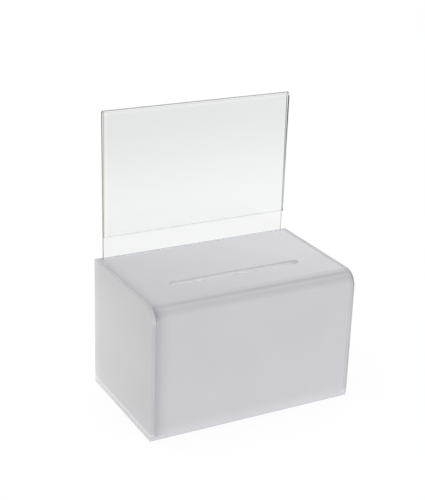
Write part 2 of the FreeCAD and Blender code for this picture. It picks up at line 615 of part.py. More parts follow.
dress(barrel, "Chamfer", "bezel_bevel",
      lambda edge: flat_at(edge, "z", HEAD_TOP) and near(edge.BoundBox.XMax, "bezel_diameter / 2"))
put_on_lock_axis(barrel, "barrel_length")

# Plug with a key slot in its face, and the square that drives the cam behind it.
PLUG_BODY = f"(cam_gap / 2 + {FACE_FLOOR} + plug_running)"
plug = new_body("lock_plug")
plug_section = new_sketch(plug, "XZ_Plane")
outline(plug_section, (
    ("0", "0"), ("plug_diameter / 2", "0"), ("plug_diameter / 2", PLUG_BODY),
    ("plug_face_diameter / 2", PLUG_BODY), ("plug_face_diameter / 2", f"{PLUG_BODY} + plug_face"),
    ("0", f"{PLUG_BODY} + plug_face")))
revolve(plug, plug_section)
drive = new_sketch(plug, "XY_Plane", "-cam_gap / 2 - cam_thickness")
rectangle(drive, "-drive_square / 2", "drive_square / 2", "-drive_square / 2", "drive_square / 2")
pad(plug, drive, "cam_gap / 2 + cam_thickness + plug_face")
screw_hole = new_sketch(plug, "XY_Plane", "-cam_gap / 2 - cam_thickness")
circle(screw_hole, "0", "0", "screw_diameter / 2 + thread_play")
pocket(plug, screw_hole, "screw_length + thread_play", forward=True)
keyway = new_sketch(plug, "XY_Plane", f"{PLUG_BODY} + plug_face")
rectangle(keyway, "-keyway_length / 2", "keyway_length / 2", "-keyway_width / 2", "keyway_width / 2")
pocket(plug, keyway, "keyway_depth")
put_on_lock_axis(plug, "barrel_length + cam_gap / 2")


# Spring washer that keeps the nut tight.
THREAD_HOLE = "(barrel_diameter / 2 + thread_play)"
washer = new_body("lock_washer")
washer_section = new_sketch(washer, "XZ_Plane")
rectangle(washer_section, THREAD_HOLE, "washer_diameter / 2", "0", "washer_thickness")
revolve(washer, washer_section)
put_on_lock_axis(washer, "rear_sheet + washer_thickness")

# Hexagon nut, its corners bevelled on the side towards the cam.
NUT_CORNER = "(nut_across / 2 / cos(30 deg))"
nut = new_body("lock_nut")
hexagon = new_sketch(nut, "XY_Plane")
outline(hexagon, (
    (NUT_CORNER, "0"), (f"{NUT_CORNER} / 2", "nut_across / 2"),
    (f"-{NUT_CORNER} / 2", "nut_across / 2"), (f"-{NUT_CORNER}", "0"),
    (f"-{NUT_CORNER} / 2", "-nut_across / 2"), (f"{NUT_CORNER} / 2", "-nut_across / 2")))
pad(nut, hexagon, "nut_thickness")
nut_hole = new_sketch(nut, "XY_Plane")
circle(nut_hole, "0", "0", THREAD_HOLE)
pocket(nut, nut_hole, "2 * nut_thickness", symmetric=True)
bevel = new_sketch(nut, "XZ_Plane")
outline(bevel, (("nut_across / 2", "0"), (NUT_CORNER, "0"), (NUT_CORNER, "nut_bevel")))
revolve(nut, bevel, cut=True)
put_on_lock_axis(nut, "rear_sheet + washer_thickness + nut_thickness")

# Cam, a plate bent twice so that its tip comes up behind the rear strip.
# It points across at rest, unlocked, and turns up to lock.
CAM_STEP = "(barrel_length + cam_gap - rear_sheet - cam_catch_gap)"
BEND_AT = f"(cam_hub + {NUT_CORNER} + cam_bend_clear)"
BEND_SHIFT = "cam_thickness * tan(22.5 deg)"
CAM_END = "(cam_hub + cam_reach)"
cam = new_body("lock_cam")
cam_section = new_sketch(cam, "XZ_Plane")
outline(cam_section, (
    ("0", "0"), (f"{BEND_AT} + {BEND_SHIFT}", "0"),
    (f"{BEND_AT} + {CAM_STEP} + {BEND_SHIFT}", CAM_STEP), (CAM_END, CAM_STEP),
    (CAM_END, f"{CAM_STEP} + cam_thickness"), (f"{BEND_AT} + {CAM_STEP}", f"{CAM_STEP} + cam_thickness"),
    (BEND_AT, "cam_thickness"), ("0", "cam_thickness")))
pad(cam, cam_section, "cam_width", symmetric=True)
for radius, x_at, z_at in (
        ("cam_bend_radius + cam_thickness", f"{BEND_AT} + {BEND_SHIFT}", "0"),
        ("cam_bend_radius", BEND_AT, "cam_thickness"),
        ("cam_bend_radius", f"{BEND_AT} + {CAM_STEP} + {BEND_SHIFT}", CAM_STEP),
        ("cam_bend_radius + cam_thickness", f"{BEND_AT} + {CAM_STEP}", f"{CAM_STEP} + cam_thickness")):
    dress(cam, "Fillet", radius, lambda edge: flat_at(edge, "x", x_at) and flat_at(edge, "z", z_at))
dress(cam, "Fillet", "cam_tip_radius",
      lambda edge: runs_along(edge, "z") and (flat_at(edge, "x", "0") or flat_at(edge, "x", CAM_END)))
cam_hole = new_sketch(cam, "XY_Plane", "2 * cam_thickness")
rectangle(cam_hole, "cam_hub - drive_square / 2 - drive_play", "cam_hub + drive_square / 2 + drive_play",
          "-drive_square / 2 - drive_play", "drive_square / 2 + drive_play")
pocket(cam, cam_hole, "4 * cam_thickness")
put_on_lock_axis(cam, "barrel_length + cam_gap + cam_thickness")
bind(cam, "Placement.Base.x", "-cam_hub")

# Slotted screw that holds the cam on the plug.
screw = new_body("cam_screw")
screw_section = new_sketch(screw, "XZ_Plane")
outline(screw_section, (
    ("0", "0"), ("screw_head_diameter / 2", "0"), ("screw_head_diameter / 2", "screw_head_height"),
    ("screw_diameter / 2", "screw_head_height"),
    ("screw_diameter / 2", "screw_head_height + screw_length"), ("0", "screw_head_height + screw_length")))
revolve(screw, screw_section)
dress(screw, "Chamfer", "screw_head_height / 2",
      lambda edge: flat_at(edge, "z", "0") and near(edge.BoundBox.XMax, "screw_head_diameter / 2"))
driver_slot = new_sketch(screw, "XY_Plane")
rectangle(driver_slot, "-screw_head_diameter", "screw_head_diameter",
          "-screw_slot_width / 2", "screw_slot_width / 2")
pocket(screw, driver_slot, "screw_slot_depth", forward=True)
put_on_lock_axis(screw, "barrel_length + cam_gap + cam_thickness + screw_head_height")


# Every feature must be sound before anything is written.
doc.recompute()
for item in doc.Objects:
    if "Invalid" in item.State or "Error" in item.State:
        raise RuntimeError(f"{item.Label} failed: {item.State}")
sub_parts = [item for item in doc.Objects if item.TypeId == "PartDesign::Body"]
for item in sub_parts:
    if item.Shape.isNull() or not item.Shape.isValid() or len(item.Shape.Solids) != 1:
        raise RuntimeError(f"{item.Label} is not one sound solid")
os.makedirs("parts", exist_ok=True)
for item in sub_parts:
    item.Shape.exportStep(os.path.join("parts", f"{item.Label}.step"))
print(f"{len(sub_parts)} sub-parts written")
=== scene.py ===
import math

import bmesh
import bpy
from mathutils import Matrix, Vector


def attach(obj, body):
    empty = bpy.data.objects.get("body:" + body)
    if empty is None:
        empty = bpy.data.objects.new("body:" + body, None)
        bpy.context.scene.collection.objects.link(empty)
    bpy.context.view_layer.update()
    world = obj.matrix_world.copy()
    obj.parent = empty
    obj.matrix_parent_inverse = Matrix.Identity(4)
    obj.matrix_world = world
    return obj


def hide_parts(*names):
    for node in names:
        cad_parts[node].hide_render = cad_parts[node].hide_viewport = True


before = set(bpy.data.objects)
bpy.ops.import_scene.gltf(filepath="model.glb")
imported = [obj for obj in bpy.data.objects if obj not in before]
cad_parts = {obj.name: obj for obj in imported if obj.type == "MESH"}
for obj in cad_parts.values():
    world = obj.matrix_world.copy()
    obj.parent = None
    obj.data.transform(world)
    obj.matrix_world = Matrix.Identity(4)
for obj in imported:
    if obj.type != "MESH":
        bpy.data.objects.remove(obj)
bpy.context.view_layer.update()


# Base panel: a white opal acrylic sheet under the whole box, 4.8 mm thick.
# Its polished edge shows all round, and the walls are cemented down on it.
OPAL_WHITE = (0.605, 0.598, 0.633)
ACRYLIC_IOR = 1.49
# Height of the painted light along the foot of the base.
BASE_PAINTED_GLOW_HEIGHT = 0.0035


def new_finish(name):
    """An empty node material with one shader, and the position on the piece for its patterns."""
    finish = bpy.data.materials.new(name)
    finish.use_nodes = True
    nodes = finish.node_tree.nodes
    nodes.clear()
    output = nodes.new("ShaderNodeOutputMaterial")
    shader = nodes.new("ShaderNodeBsdfPrincipled")
    finish.node_tree.links.new(shader.outputs["BSDF"], output.inputs["Surface"])
    place = nodes.new("ShaderNodeTexCoord").outputs["Object"]
    return finish, shader, place


def add_node(finish, kind, inputs, **settings):
    """A node of the material, with its settings and with numbers or outputs on its inputs."""
    node = finish.node_tree.nodes.new(kind)
    for setting, choice in settings.items():
        setattr(node, setting, choice)
    for socket, feed in inputs.items():
        if isinstance(feed, bpy.types.NodeSocket):
            finish.node_tree.links.new(feed, node.inputs[socket])
        else:
            node.inputs[socket].default_value = feed
    return node


def cloud(finish, place, size, low, high, detail=2.0, stretch=(1.0, 1.0, 1.0)):
    """Soft irregular variation of about one size in metres, between two levels."""
    mapping = add_node(finish, "ShaderNodeMapping", {"Vector": place, "Scale": stretch})
    noise = add_node(finish, "ShaderNodeTexNoise", {"Vector": mapping.outputs["Vector"],
                                                    "Scale": 1.0 / size, "Detail": detail})
    spread = add_node(finish, "ShaderNodeMapRange", {"Value": noise.outputs["Fac"],
                                                     "From Min": 0.3, "From Max": 0.7,
                                                     "To Min": low, "To Max": high})
    return spread.outputs["Result"]


def across(finish, place, axis):
    """The distance of a point along one axis of the piece."""
    return add_node(finish, "ShaderNodeSeparateXYZ", {"Vector": place}).outputs[axis]


def ramp(finish, level, start, end, low, high):
    """A smooth change from low to high as the level goes from start to end."""
    node = add_node(finish, "ShaderNodeMapRange",
                    {"Value": level, "From Min": start, "From Max": end,
                     "To Min": low, "To Max": high},
                    interpolation_type="SMOOTHSTEP")
    return node.outputs["Result"]


def product(finish, *levels):
    """Several levels multiplied together."""
    total = levels[0]
    for level in levels[1:]:
        node = add_node(finish, "ShaderNodeMath", {0: total, 1: level}, operation="MULTIPLY")
        total = node.outputs["Value"]
    return total


def tinted(finish, shader, colour, level):
    """Give the shader a colour that gets lighter and darker with a level."""
    scaled = add_node(finish, "ShaderNodeVectorMath", {0: colour, "Scale": level},
                      operation="SCALE")
    finish.node_tree.links.new(scaled.outputs["Vector"], shader.inputs["Base Color"])


def roughened(finish, shader, height, strength, distance):
    """Give the shader a fine relief from a level."""
    bump = add_node(finish, "ShaderNodeBump",
                    {"Strength": strength, "Distance": distance, "Height": height})
    finish.node_tree.links.new(bump.outputs["Normal"], shader.inputs["Normal"])


def opal_sheet(name):
    """Polished opal acrylic: faint clouding, handling haze, and the slow waviness of cast sheet."""
    finish, shader, place = new_finish(name)
    clouding = cloud(finish, place, 0.06, 0.988, 1.012)
    haze = cloud(finish, place, 0.035, 0.05, 0.09, 4.0)
    finish.node_tree.links.new(haze, shader.inputs["Roughness"])
    waves = cloud(finish, place, 0.05, 0.0, 1.0, 1.0)
    roughened(finish, shader, waves, 0.15, 0.0004)
    shader.inputs["IOR"].default_value = ACRYLIC_IOR
    shader.inputs["Subsurface Weight"].default_value = 0.15
    shader.inputs["Subsurface Scale"].default_value = 0.004
    shader.inputs["Subsurface Radius"].default_value = (1.0, 1.0, 1.0)
    return finish, shader, place, clouding


def dress(node, finish):
    """Put a finish on a piece that keeps the shape it was cut to."""
    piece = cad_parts[node]
    for slot in piece.material_slots:
        slot.material = finish


base_finish, base_shader, base_place, base_clouding = opal_sheet("opal_base")
base_up = across(base_finish, base_place, "Z")
# Painted light: the lowest few millimetres of the base are painted brighter, for the light the
# table sends up through the sheet.
base_painted_glow = ramp(base_finish, base_up, 0.0, BASE_PAINTED_GLOW_HEIGHT, 0.97, 1.17)
tinted(base_finish, base_shader, OPAL_WHITE, product(base_finish, base_clouding, base_painted_glow))
dress("base_panel", base_finish)


# Side panels: two flat opal sheets outside the bent sheet, their edges flame polished.
# Their upper front corner is cut to the curve of the bend.
WALL = 0.0048
BOX_HALF = 0.12065
BOX_TOP = 0.149
BOX_REAR = 0.0737
LEFT_FACE, RIGHT_FACE = -BOX_HALF, BOX_HALF
LEFT_SEAM, RIGHT_SEAM = -BOX_HALF + WALL, BOX_HALF - WALL
SIDE_BEND_RISE = (0.128, 0.136)
SIDE_BEND_RUN = (-0.066, -0.056)
# A warmer colour painted on the left panel's edge round the bend, for the warm light from the left.
OPAL_CORNER_PAINTED_WARM_LIGHT = (0.615, 0.610, 0.613, 1.0)


def shades(finish, level, *steps):
    """Several ramps of one level multiplied together, each as (start, end, low, high)."""
    return product(finish, *[ramp(finish, level, *step) for step in steps])


def between(finish, share, start, end):
    """A level that goes over from one to another by a share."""
    mix = add_node(finish, "ShaderNodeMix", {"Factor": share, "A": start, "B": end},
                   data_type="FLOAT")
    return mix.outputs["Result"]


def blended(finish, share, start, end):
    """A colour that goes over from one to another by a share."""
    mix = add_node(finish, "ShaderNodeMix", {0: share, 6: start, 7: end}, data_type="RGBA")
    return mix.outputs[2]


side_finish, side_shader, side_place, side_clouding = opal_sheet("opal_sides")
side_x = across(side_finish, side_place, "X")
side_y = across(side_finish, side_place, "Y")
side_z = across(side_finish, side_place, "Z")
side_bend = product(side_finish, ramp(side_finish, side_z, *SIDE_BEND_RISE, 0.0, 1.0),
                    ramp(side_finish, side_y, *SIDE_BEND_RUN, 1.0, 0.0))
# Painted shade: the panels are painted darker towards the seams and round the bend, with thin
# painted highlight lines along the seams and outer corners.
left_edge_painted_shade = shades(side_finish, side_x,
                         (LEFT_FACE, LEFT_SEAM, 0.945, 0.90),
                         (LEFT_SEAM - 0.0008, LEFT_SEAM - 0.0002, 1.0, 1.05))
left_bend_painted_shade = ramp(side_finish, side_x, LEFT_FACE + 0.0002, LEFT_FACE + 0.0009, 0.945, 1.045)
right_edge_painted_shade = shades(side_finish, side_x,
                          (RIGHT_FACE - 0.0052, RIGHT_FACE - 0.0040, 1.08, 1.0),
                          (RIGHT_FACE - 0.0034, RIGHT_FACE - 0.0014, 1.0, 0.80),
                          (RIGHT_FACE - 0.0007, RIGHT_FACE - 0.0002, 1.0, 1.12))
right_bend_painted_shade = ramp(side_finish, side_x, RIGHT_FACE - 0.0028, RIGHT_FACE - 0.0010, 1.02, 0.55)
left_side_painted_shade = between(side_finish, side_bend, left_edge_painted_shade, left_bend_painted_shade)
right_side_painted_shade = between(side_finish, side_bend, right_edge_painted_shade, right_bend_painted_shade)
on_right = ramp(side_finish, side_x, -0.01, 0.01, 0.0, 1.0)
side_edges_painted_shade = between(side_finish, on_right, left_side_painted_shade, right_side_painted_shade)
# Painted light and shade: the panels are painted brighter near the table and towards the rear, and
# darker towards the top.
side_painted_light_low = shades(side_finish, side_z, (0.010, 0.030, 1.03, 1.0), (0.0060, 0.0098, 1.33, 1.0))
side_painted_light_rear = ramp(side_finish, side_y, 0.055, BOX_REAR, 1.0, 1.10)
side_painted_shade_up = ramp(side_finish, side_z, 0.085, BOX_TOP, 1.0, 0.955)
# Painted light: the left panel's edge round the bend is painted in the warmer colour.
left_corner_painted_warm_light = product(side_finish, side_bend,
                      ramp(side_finish, side_x, LEFT_FACE + 0.0002, LEFT_FACE + 0.0006, 0.0, 1.0),
                      ramp(side_finish, on_right, 0.0, 1.0, 1.0, 0.0))
side_colour = blended(side_finish, left_corner_painted_warm_light, OPAL_WHITE + (1.0,), OPAL_CORNER_PAINTED_WARM_LIGHT)
tinted(side_finish, side_shader, side_colour,
       product(side_finish, side_clouding, side_edges_painted_shade, side_painted_light_low, side_painted_shade_up, side_painted_light_rear))
side_depth = add_node(side_finish, "ShaderNodeMath", {0: side_x}, operation="ABSOLUTE")
sanded = ramp(side_finish, side_depth.outputs["Value"],
              BOX_HALF - 0.0006, BOX_HALF - 0.0001, 0.38, 0.07)
side_finish.node_tree.links.new(sanded, side_shader.inputs["Roughness"])
dress("side_panel_left", side_finish)
dress("side_panel_right", side_finish)


# Front and top: one opal sheet bent hot along the upper front edge, cemented between the sides.
# The money slot and the slot for the sign are routed through the top, and their cut walls
# are painted near white, painted light for the glow that the sheet carries into them.
BEND_RISE = (0.133, 0.1405)
BEND_RUN = (-0.0690, -0.0625)
TOP_RISE = (0.138, 0.147)
MONEY_SLOT_MIDDLE, MONEY_SLOT_HALF, MONEY_SLOT_RIM = -0.0210, 0.0047, 0.1463
HEADER_SLOT_MIDDLE, HEADER_SLOT_HALF, HEADER_SLOT_RIM = 0.06945, 0.0015, 0.1486
SLOT_RIM_TOP = 0.1489
# The top's colour: a painted light tint of the same sheet.
OPAL_TOP_PAINTED_LIGHT = (0.605, 0.603, 0.641, 1.0)
# The colour of the slot walls: painted light, near white.
CUT_WALL_PAINTED_GLOW = (0.93, 0.935, 0.945, 1.0)


def larger(finish, *levels):
    """The largest of several levels."""
    top = levels[0]
    for level in levels[1:]:
        node = add_node(finish, "ShaderNodeMath", {0: top, 1: level}, operation="MAXIMUM")
        top = node.outputs["Value"]
    return top


bent_finish, bent_shader, bent_place, bent_clouding = opal_sheet("opal_front_and_top")
bent_x = across(bent_finish, bent_place, "X")
bent_y = across(bent_finish, bent_place, "Y")
bent_z = across(bent_finish, bent_place, "Z")
# Painted light: the sheet is painted brighter towards its foot, for the light the table sends up
# through it.
front_painted_light_low = shades(bent_finish, bent_z, (0.008, 0.100, 1.035, 1.0),
                  (WALL, 0.018, 1.075, 1.0), (WALL, 0.0078, 1.06, 1.0))
# Painted shade: the sheet is painted darker beside the left seam, with painted highlight lines
# right at both seams.
seam_painted_shade = shades(bent_finish, bent_x,
                    (LEFT_SEAM + 0.0015, LEFT_SEAM + 0.0075, 0.905, 1.0),
                    (LEFT_SEAM, LEFT_SEAM + 0.018, 0.925, 1.0),
                    (LEFT_SEAM + 0.0002, LEFT_SEAM + 0.0010, 1.05, 1.0),
                    (RIGHT_SEAM - 0.0010, RIGHT_SEAM - 0.0002, 1.0, 1.12))
on_bend = product(bent_finish, ramp(bent_finish, bent_z, *BEND_RISE, 0.0, 1.0),
                  ramp(bent_finish, bent_y, *BEND_RUN, 1.0, 0.0))
# Painted shade: the left end of the bend is painted darker.
bend_painted_shade = shades(bent_finish, bent_x,
                   (LEFT_SEAM + 0.0018, LEFT_SEAM + 0.0055, 0.89, 1.0),
                   (LEFT_SEAM + 0.0030, LEFT_SEAM + 0.0150, 0.92, 1.0))
bend_end_painted_shade = between(bent_finish, on_bend, 1.0, bend_painted_shade)


def slot_wall_glow_mask(middle, half, rim):
    """The cut through the top sheet round a line across the box, below its rim, as a mask for the
    painted light on its walls.
    """
    aside = add_node(bent_finish, "ShaderNodeMath", {0: bent_y, 1: middle}, operation="SUBTRACT")
    aside = add_node(bent_finish, "ShaderNodeMath", {0: aside.outputs["Value"]},
                     operation="ABSOLUTE")
    return product(bent_finish,
                   ramp(bent_finish, aside.outputs["Value"], half, half + 0.0005, 1.0, 0.0),
                   ramp(bent_finish, bent_z, rim, SLOT_RIM_TOP, 1.0, 0.0))


money_slot_painted_glow = slot_wall_glow_mask(MONEY_SLOT_MIDDLE, MONEY_SLOT_HALF, MONEY_SLOT_RIM)
header_slot_painted_glow = slot_wall_glow_mask(HEADER_SLOT_MIDDLE, HEADER_SLOT_HALF, HEADER_SLOT_RIM)
on_top = ramp(bent_finish, bent_z, *TOP_RISE, 0.0, 1.0)
# Painted shade: the front is painted darker towards the left seam, but the top is not.
front_painted_shade = ramp(bent_finish, bent_x, LEFT_SEAM + 0.0030, LEFT_SEAM + 0.0180, 0.955, 1.0)
front_end_painted_shade = between(bent_finish, on_top, front_painted_shade, 1.0)
# Painted light: the top is painted a slightly lighter, bluer tint than the front, for how the light
# falls on it.
sheet_colour = blended(bent_finish, on_top, OPAL_WHITE + (1.0,), OPAL_TOP_PAINTED_LIGHT)
# Painted light: the walls of both slots are painted near white.
bent_colour = blended(bent_finish, larger(bent_finish, money_slot_painted_glow, header_slot_painted_glow),
                      sheet_colour, CUT_WALL_PAINTED_GLOW)
tinted(bent_finish, bent_shader, bent_colour,
       product(bent_finish, bent_clouding, seam_painted_shade, front_painted_light_low, bend_end_painted_shade, front_end_painted_shade))
dress("front_top_panel", bent_finish)


# Rear strips: two narrow opal sheets cemented between the sides, above and below the door.
# The door closes flush between them.
def plain_opal(name):
    """Opal sheet of one shade, for the pieces at the rear and inside."""
    finish, shader, _, clouding = opal_sheet(name)
    tinted(finish, shader, OPAL_WHITE, clouding)
    return finish


rear_finish = plain_opal("opal_rear")
dress("rear_top_strip", rear_finish)
dress("rear_lower_strip", rear_finish)


# Seat of the sign: an opal guide strip ahead of the tail and a ledge under it.
# Both are cemented inside, under the slot for the sign.
dress("header_guide", rear_finish)
dress("header_rest", rear_finish)


# Sign holder: one clear cast acrylic sheet, 2 mm thick, folded over hot into a pocket for a sign.
# The sheet is painted greyer towards the fold, a painted reflection, and its polished edges are
# painted darker than its faces, painted shade.
SIGN_HALF = 0.11225
SIGN_LEFT, SIGN_RIGHT = -SIGN_HALF, SIGN_HALF
SIGN_TOP = 0.31462
FLAP_EDGE = 0.1739
POCKET_GAP = (0.0686, 0.0690)
# Painted shade: the grey of the line along the flap's lower edge.
FOOT_PAINTED_GREY = 0.96
EDGE_TRANSMISSION = 0.15
# The warmth of the painted highlight on the flap, and below, the warm tint painted on the edges.
FLAP_HIGHLIGHT_WARMTH = 0.35
CLEAR_SHEET = (1.0, 1.009, 1.004, 1.0)
CLEAR_EDGE_PAINTED_TINT = (1.0, 1.0, 0.88, 1.0)
clear_finish, clear_shader, clear_place = new_finish("clear_sign_sheet")
sign_across = across(clear_finish, clear_place, "X")
sign_back = across(clear_finish, clear_place, "Y")
sign_up = across(clear_finish, clear_place, "Z")
# Painted reflection: the clear sheet is painted greyer towards the fold, lighter towards its foot
# and a little lighter to the right.
sheet_painted_reflection = product(clear_finish,
                     shades(clear_finish, sign_up,
                            (0.185, 0.312, 0.946, 0.882), (0.3085, 0.3100, 1.0, 1.025),
                            (0.1728, 0.1745, 0.968, 1.0), (0.1506, 0.1516, 1.07, 1.0)),
                     ramp(clear_finish, sign_across, SIGN_LEFT, SIGN_RIGHT, 0.994, 1.006))
on_flap = product(clear_finish, ramp(clear_finish, sign_back, *POCKET_GAP, 1.0, 0.0),
                  ramp(clear_finish, sign_up, FLAP_EDGE - 0.0015, FLAP_EDGE - 0.0005, 0.0, 1.0))
# Painted shade: the ends of the sheet, the crest of the fold and a corner of the flap are painted
# dark and made nearly opaque.
back_left_end = ramp(clear_finish, sign_across, SIGN_LEFT + 0.0003, SIGN_LEFT + 0.0006, 1.0, 0.0)
flap_left_end = ramp(clear_finish, sign_across, SIGN_LEFT + 0.0002, SIGN_LEFT + 0.0006, 1.0, 0.0)
left_end = between(clear_finish, on_flap, back_left_end, flap_left_end)
back_right_end = ramp(clear_finish, sign_across, SIGN_RIGHT - 0.0009, SIGN_RIGHT - 0.0006, 0.0, 1.0)
flap_right_end = product(
    clear_finish,
    ramp(clear_finish, sign_across, SIGN_RIGHT - 0.0013, SIGN_RIGHT - 0.0010, 0.0, 1.0),
    ramp(clear_finish, sign_up, SIGN_TOP - 0.0042, SIGN_TOP - 0.0030, 1.0, 0.25))
right_end = between(clear_finish, on_flap, back_right_end, flap_right_end)
fold_top = ramp(clear_finish, sign_up, SIGN_TOP - 0.0010, SIGN_TOP - 0.0004, 0.0, 1.0)
# Painted shade: a thin grey line is painted along the flap's lower edge, and made nearly opaque.
flap_foot_painted_line = product(clear_finish, on_flap,
                    shades(clear_finish, sign_up,
                           (FLAP_EDGE + 0.0008, FLAP_EDGE + 0.0018, 1.0, 0.0),
                           (FLAP_EDGE - 0.003, FLAP_EDGE - 0.002, 0.0, 1.0)))
# Painted highlight: a lighter, warmer band is painted near the left end of the flap.
flap_painted_highlight = product(clear_finish, on_flap,
                     shades(clear_finish, sign_across,
                            (SIGN_LEFT + 0.0014, SIGN_LEFT + 0.0020, 0.0, 1.0),
                            (SIGN_LEFT + 0.0034, SIGN_LEFT + 0.0050, 1.0, 0.0)))
flap_corner = product(
    clear_finish, on_flap,
    ramp(clear_finish, sign_across, SIGN_RIGHT - 0.0024, SIGN_RIGHT - 0.0018, 0.0, 1.0),
    ramp(clear_finish, sign_up, FLAP_EDGE + 0.0010, FLAP_EDGE + 0.0014, 1.0, 0.0))
painted_dark_edges = larger(clear_finish, left_end, right_end, fold_top, flap_corner)
# The levels of the painted shade on those edges, for the back sheet and the flap.
left_back = shades(clear_finish, sign_up, (0.180, 0.300, 0.34, 0.12), (0.159, 0.182, 1.12, 1.0))
left_flap = ramp(clear_finish, sign_up, 0.250, 0.312, 0.50, 0.46)
sign_left_painted_shade = between(clear_finish, on_flap, left_back, left_flap)
right_back = shades(clear_finish, sign_up, (0.190, 0.310, 0.52, 0.35), (0.170, 0.176, 1.5, 1.0))
right_flap = shades(clear_finish, sign_up, (0.200, 0.300, 0.55, 0.05),
                    (FLAP_EDGE + 0.0010, FLAP_EDGE + 0.0016, 0.05, 1.0))
sign_right_painted_shade = between(clear_finish, on_flap, right_back, right_flap)
near_right = ramp(clear_finish, sign_across, SIGN_RIGHT - 0.0030, SIGN_RIGHT - 0.0024, 0.0, 1.0)
sign_edges_painted_shade = between(clear_finish, near_right, sign_left_painted_shade, sign_right_painted_shade)
flap_painted_reflection = product(clear_finish, sheet_painted_reflection, ramp(clear_finish, flap_painted_highlight, 0.0, 1.0, 1.0, 1.035))
face_level = between(clear_finish, flap_foot_painted_line, flap_painted_reflection, FOOT_PAINTED_GREY)
clear_level = between(clear_finish, painted_dark_edges, face_level, sign_edges_painted_shade)
# The painted dark left end and the painted flap highlight are tinted warm.
painted_warm_share = larger(clear_finish, left_end, product(clear_finish, flap_painted_highlight, FLAP_HIGHLIGHT_WARMTH))
clear_colour = blended(clear_finish, painted_warm_share, CLEAR_SHEET, CLEAR_EDGE_PAINTED_TINT)
tinted(clear_finish, clear_shader, clear_colour, clear_level)
clearness = ramp(clear_finish, larger(clear_finish, painted_dark_edges, flap_foot_painted_line),
                 0.0, 1.0, 1.0, EDGE_TRANSMISSION)
clear_finish.node_tree.links.new(clearness, clear_shader.inputs["Transmission Weight"])
clear_shader.inputs["Roughness"].default_value = 0.01
clear_shader.inputs["IOR"].default_value = ACRYLIC_IOR
clear_shader.inputs["Specular Tint"].default_value = (0.35, 0.35, 0.35, 1.0)
dress("sign_holder", clear_finish)
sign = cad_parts["sign_holder"]
sign.visible_shadow = False
sign.visible_diffuse = False
sign.visible_glossy = False


# Rear door: an opal sheet hung at its lower edge, with rounded edges and the hole for the lock.
# It is sawn from the same thin sheet as the rear strips.
door_finish = plain_opal("opal_door")
dress("rear_door", door_finish)


# Door stops: two opal strips cemented to the side panels, bevelled towards the money.
# They stand just ahead of the shut door and keep it from being pushed in.
dress("door_stop_left", rear_finish)
dress("door_stop_right", rear_finish)


# Hinges: moulded clear leaves cemented to the door and to the lower strip.
# A ground steel pin runs through the knuckles of each.
HINGE_CLEAR = (0.80, 0.82, 0.82)
PIN_STEEL = (0.62, 0.62, 0.62)
hinge_finish, hinge_shader, hinge_place = new_finish("clear_hinge_leaf")
tinted(hinge_finish, hinge_shader, HINGE_CLEAR,
       cloud(hinge_finish, hinge_place, 0.004, 0.97, 1.0))
hinge_shader.inputs["Transmission Weight"].default_value = 0.45
hinge_shader.inputs["Roughness"].default_value = 0.10
hinge_shader.inputs["IOR"].default_value = ACRYLIC_IOR
for side in ("left", "right"):
    for leaf in ("base", "door"):
        dress(f"hinge_{leaf}_leaf_{side}", hinge_finish)
        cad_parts[f"hinge_{leaf}_leaf_{side}"].visible_shadow = False


def plated_steel(name, colour, roughness, grain_size, grain_stretch, grain_depth):
    """A metal with fine marks in it, drawn out along one direction."""
    finish, shader, place = new_finish(name)
    marks = cloud(finish, place, grain_size, 0.0, 1.0, 3.0, grain_stretch)
    tinted(finish, shader, colour, ramp(finish, marks, 0.0, 1.0, 0.92, 1.0))
    dulled = ramp(finish, marks, 0.0, 1.0, roughness, 1.6 * roughness)
    finish.node_tree.links.new(dulled, shader.inputs["Roughness"])
    roughened(finish, shader, marks, grain_depth, 0.0001)
    shader.inputs["Metallic"].default_value = 1.0
    return finish


pin_finish = plated_steel("ground_steel_pin", PIN_STEEL, 0.22, 0.0006, (0.1, 1.0, 1.0), 0.1)
dress("hinge_pin_left", pin_finish)
dress("hinge_pin_right", pin_finish)


# Lock barrel: a chrome plated turning with a bevelled head, its shank threaded and flattened on
# two sides. It goes through the door from outside, and the nut draws its head against the door.
LOCK_HIGH = 0.0857
SHANK_END, SHANK_BORE, SHANK_OVERLAP = 0.06175, 0.0053, 0.0003
HEAD_SEAT, HEAD_FACE = 0.07375, 0.07615
HEAD_RADIUS, HEAD_BEVEL, HEAD_BORE = 0.0110, 0.0010, 0.00505
RECESS_RADIUS, RECESS_DEPTH = 0.00625, 0.00095
RIM_REACH, RIM_INNER, RIM_ROUND = 0.0011, 0.006, 0.00012
THREAD_PITCH, THREAD_TURNS, THREAD_START = 0.001, 11, 0.0004
THREAD_ROOT, THREAD_CREST = 0.00755, 0.0080
BARREL_FLAT = 0.0066
CHROME = (0.56, 0.565, 0.57)


def turned(shape, outline):
    """Turn a closed outline of (radius, depth) points about the lock's axis, into a ring."""
    points = [shape.verts.new((0.0, depth, LOCK_HIGH + radius)) for radius, depth in outline]
    edges = [shape.edges.new((points[step - 1], points[step])) for step in range(len(points))]
    bmesh.ops.spin(shape, geom=points + edges, cent=(0.0, 0.0, LOCK_HIGH), axis=(0.0, 1.0, 0.0),
                   angle=math.tau, steps=72, use_merge=True)


def from_axis(vert):
    """The distance of a point from the lock's axis."""
    return (vert.co.xz - Vector((0.0, LOCK_HIGH))).length


